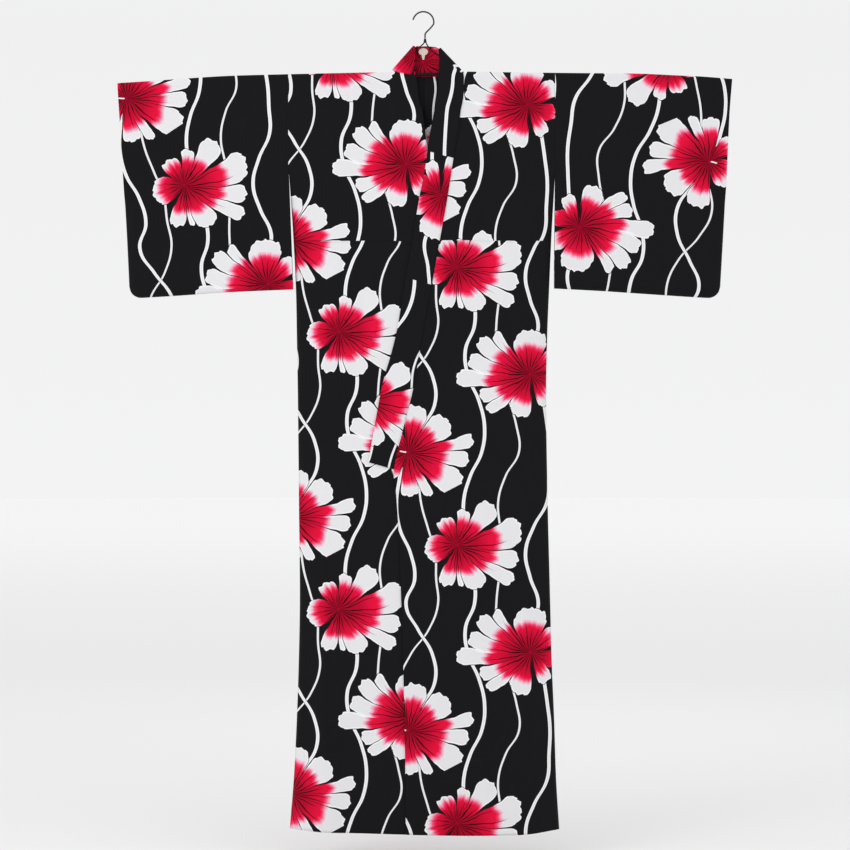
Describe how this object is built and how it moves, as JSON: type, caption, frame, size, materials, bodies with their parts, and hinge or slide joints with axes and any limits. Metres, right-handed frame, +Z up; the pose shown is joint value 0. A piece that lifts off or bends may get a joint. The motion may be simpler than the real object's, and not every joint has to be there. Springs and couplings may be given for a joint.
{
  "type": "yukata robe with hanger",
  "caption": "Cotton yukata robe hanging open and flat from a kimono hanger, with wide square sleeves, a straight folded collar and the left front over the right.",
  "frame": {"origin": "where the hanger's hook bears on the rail or wall hook that holds it, at the top of the inside of the hook", "axes": "+Z up; the front of the robe faces -Y; +X towards the wearer's left sleeve"},
  "size_m": [1.3519, 0.0642, 1.8104],
  "materials": {
    "printed_cotton": "black plain-weave cotton printed with large red and white flowers and thin white lines",
    "tab_tape": "cream cotton tape",
    "nickel_steel": "nickel plated wire",
    "black_knob": "gloss black",
    "black_lacquer": "satin black"
  },
  "bodies": {
    "root": {"front_right_upper": "printed_cotton", "front_right_middle": "printed_cotton", "front_right_lower": "printed_cotton", "front_left_upper": "printed_cotton", "front_left_middle": "printed_cotton", "front_left_lower": "printed_cotton", "back_right_upper": "printed_cotton", "back_right_middle": "printed_cotton", "back_right_lower": "printed_cotton", "back_left_upper": "printed_cotton", "back_left_middle": "printed_cotton", "back_left_lower": "printed_cotton", "sleeve_right_front": "printed_cotton", "sleeve_right_back": "printed_cotton", "sleeve_left_front": "printed_cotton", "sleeve_left_back": "printed_cotton", "over_collar": "printed_cotton", "collar_left": "printed_cotton", "collar_right": "printed_cotton", "neck_tab": "tab_tape", "hanger_hook": "nickel_steel", "hanger_knob": "black_knob", "hanger_bar": "black_lacquer", "hanger_wire_right": "black_lacquer", "hanger_wire_left": "black_lacquer"}
  },
  "joints": []
}
